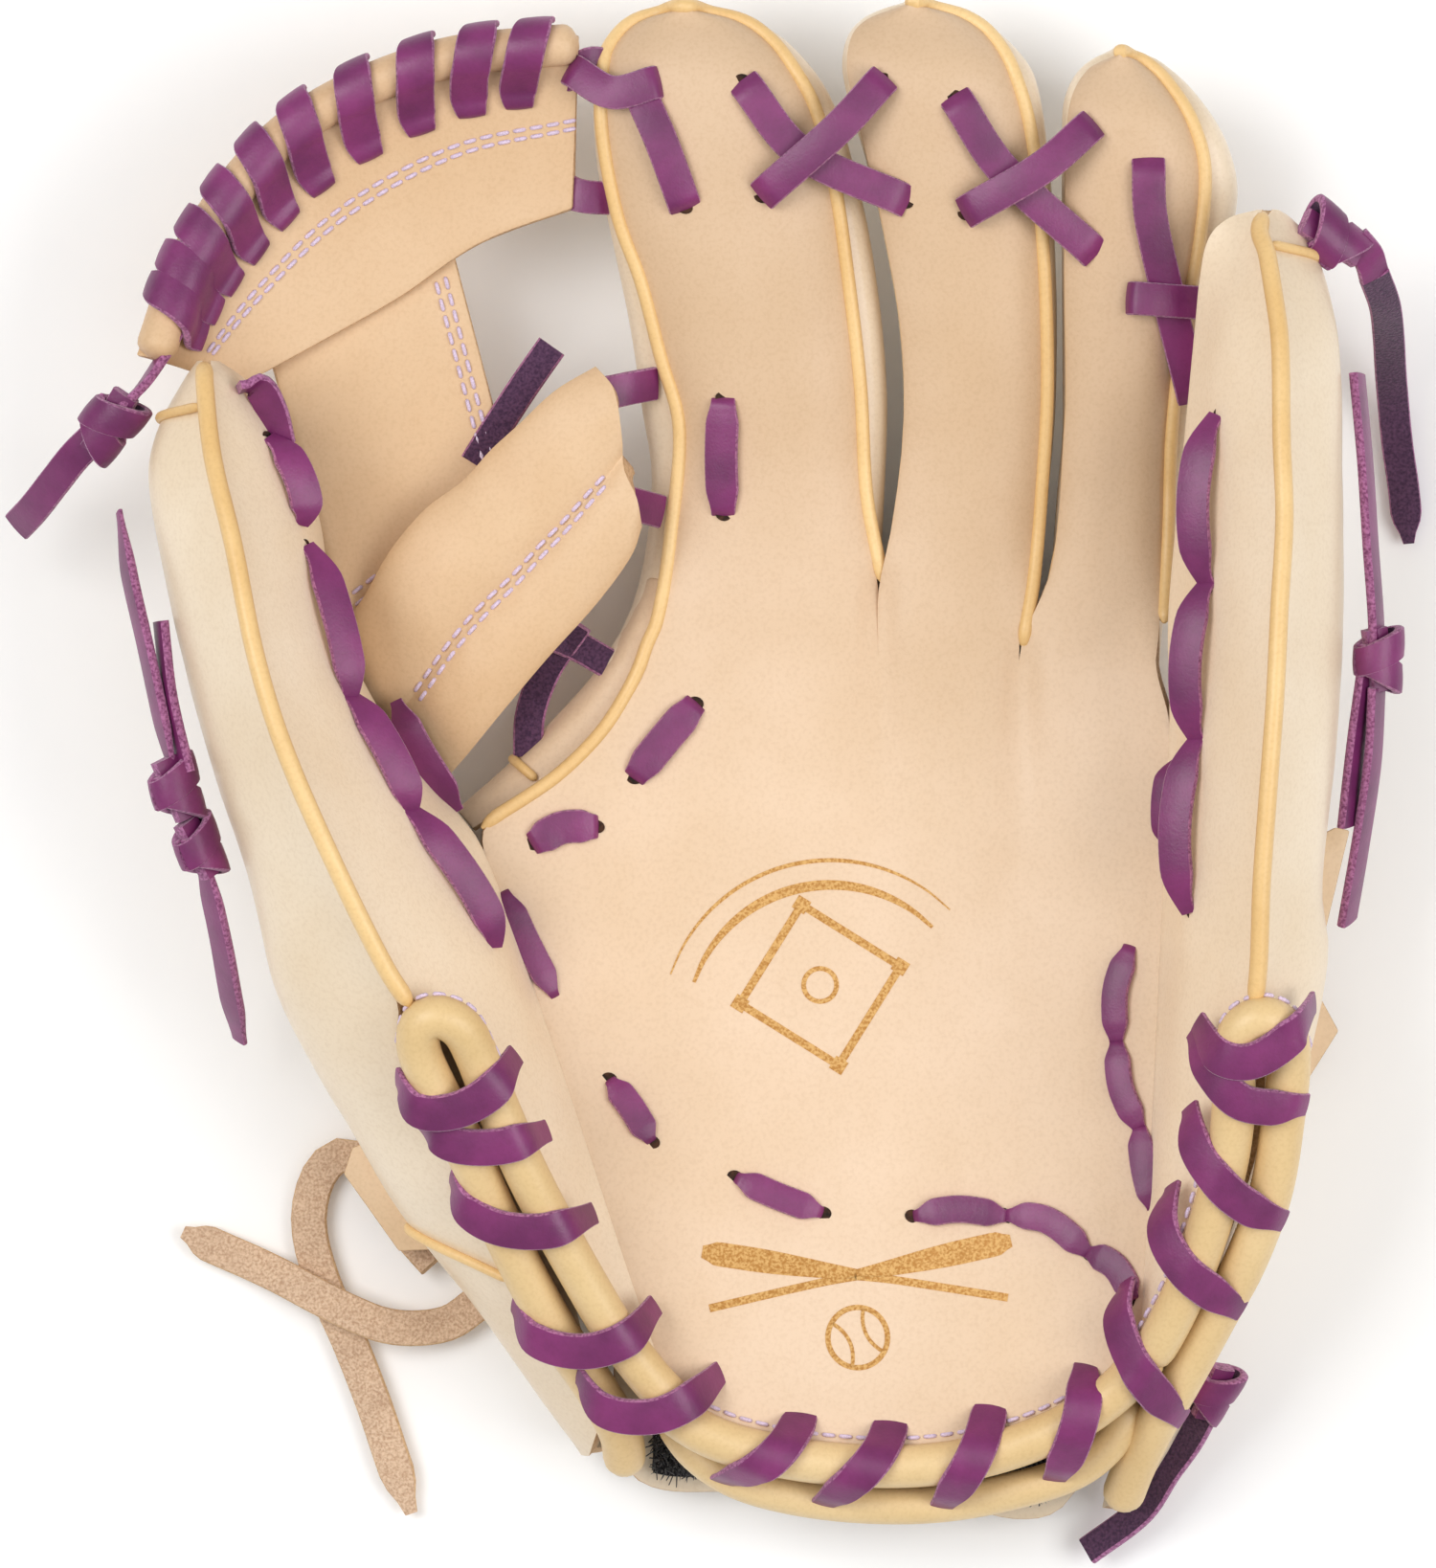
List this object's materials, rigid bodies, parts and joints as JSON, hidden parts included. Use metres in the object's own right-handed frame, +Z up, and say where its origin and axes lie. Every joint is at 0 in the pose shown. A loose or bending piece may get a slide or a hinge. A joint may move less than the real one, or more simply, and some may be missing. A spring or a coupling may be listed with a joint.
{
  "type": "baseball glove",
  "caption": "Fielder's leather glove with hinged thumb, little finger, laced web and wrist strap, lying palm up.",
  "frame": {"origin": "middle of the footprint of the glove's own box, on the surface it lies on", "axes": "+Z up out of the pocket, +Y from heel to fingertips, +X from thumb to little finger; the glove lies on its back"},
  "size_m": [0.2656, 0.2892, 0.0839],
  "materials": {
    "leather": "matte cowhide with fine grain",
    "sheen": "smooth cowhide with a soft sheen",
    "tan": "smooth tan piping leather",
    "lace": "purple rawhide lace, smooth face, fuzzy back",
    "suede": "raw undyed hide with a fuzzy flesh side",
    "fur": "short synthetic fur",
    "felt": "pressed wool felt",
    "lining": "soft lining leather"
  },
  "bodies": {
    "palm": {"palm_leather": "leather", "palm_lining": "lining", "back_lining": "lining", "palm_pad": "felt", "index_back": "sheen", "middle_back": "sheen", "ring_back": "sheen", "hand_back": "sheen", "index_welt": "tan", "middle_welt": "tan", "ring_welt": "tan", "heel_roll": "tan", "heel_back_roll": "tan", "palm_lace_index": "lace", "palm_lace_web_a": "lace", "palm_lace_web_b": "lace", "palm_lace_thumb_a": "lace", "palm_lace_thumb_b": "lace", "palm_lace_heel": "lace", "palm_lace_corner": "lace", "palm_lace_side": "lace", "finger_lace": "lace", "ring_pinky_lace": "lace", "heel_lace_palm": "lace", "tie_lace_a": "suede", "tie_lace_b": "suede"},
    "thumb": {"thumb_face": "leather", "thumb_shell": "sheen", "thumb_heel_pad": "felt", "thumb_lining": "lining", "thumb_welt": "tan", "thumb_roll_inner": "tan", "thumb_roll_outer": "tan", "thumb_loop": "lining", "thumb_lace": "lace", "heel_lace_thumb": "lace", "thumb_tip_knot": "lace", "thumb_side_knot": "lace"},
    "pinky": {"pinky_face": "leather", "pinky_shell": "sheen", "pinky_heel_pad": "felt", "pinky_lining": "lining", "pinky_welt": "tan", "pinky_roll_inner": "tan", "pinky_roll_outer": "tan", "pinky_loop": "lining", "pinky_lace": "lace", "heel_lace_pinky": "lace", "pinky_tip_knot": "lace", "pinky_side_knot": "lace", "heel_knot": "lace", "pinky_tip_tail": "lace"},
    "web": {"web_top_bar": "leather", "web_post": "leather", "web_bottom_bar": "leather", "web_lace": "lace", "web_index_lace": "lace"},
    "wrist_strap": {"wrist_strap": "sheen", "strap_fur": "fur"}
  },
  "joints": [
    {"name": "thumb_fold", "type": "hinge", "parent": "palm", "child": "thumb", "pos_m": [-0.02376, -0.06033, 0.0315], "axis": [-0.3239, 0.9439, -0.0648], "range_deg": [-5, 18]},
    {"name": "pinky_fold", "type": "hinge", "parent": "palm", "child": "pinky", "pos_m": [0.08234, -0.04733, 0.0365], "axis": [-0.0485, -0.9988, 0], "range_deg": [-3, 20]},
    {"name": "web_follow", "type": "hinge", "parent": "palm", "child": "web", "pos_m": [-0.02096, 0.09367, 0.0395], "axis": [-0.0899, 0.9945, 0.0529], "range_deg": [-2.6, 9.2]},
    {"name": "strap_open", "type": "hinge", "parent": "palm", "child": "wrist_strap", "pos_m": [0.07234, -0.12233, 0.008], "axis": [0, -1, 0], "range_deg": [0, 3]}
  ],
  "couplings": [
    {"joint": "web_follow", "follows": "thumb_fold", "ratio": 0.5}
  ]
}
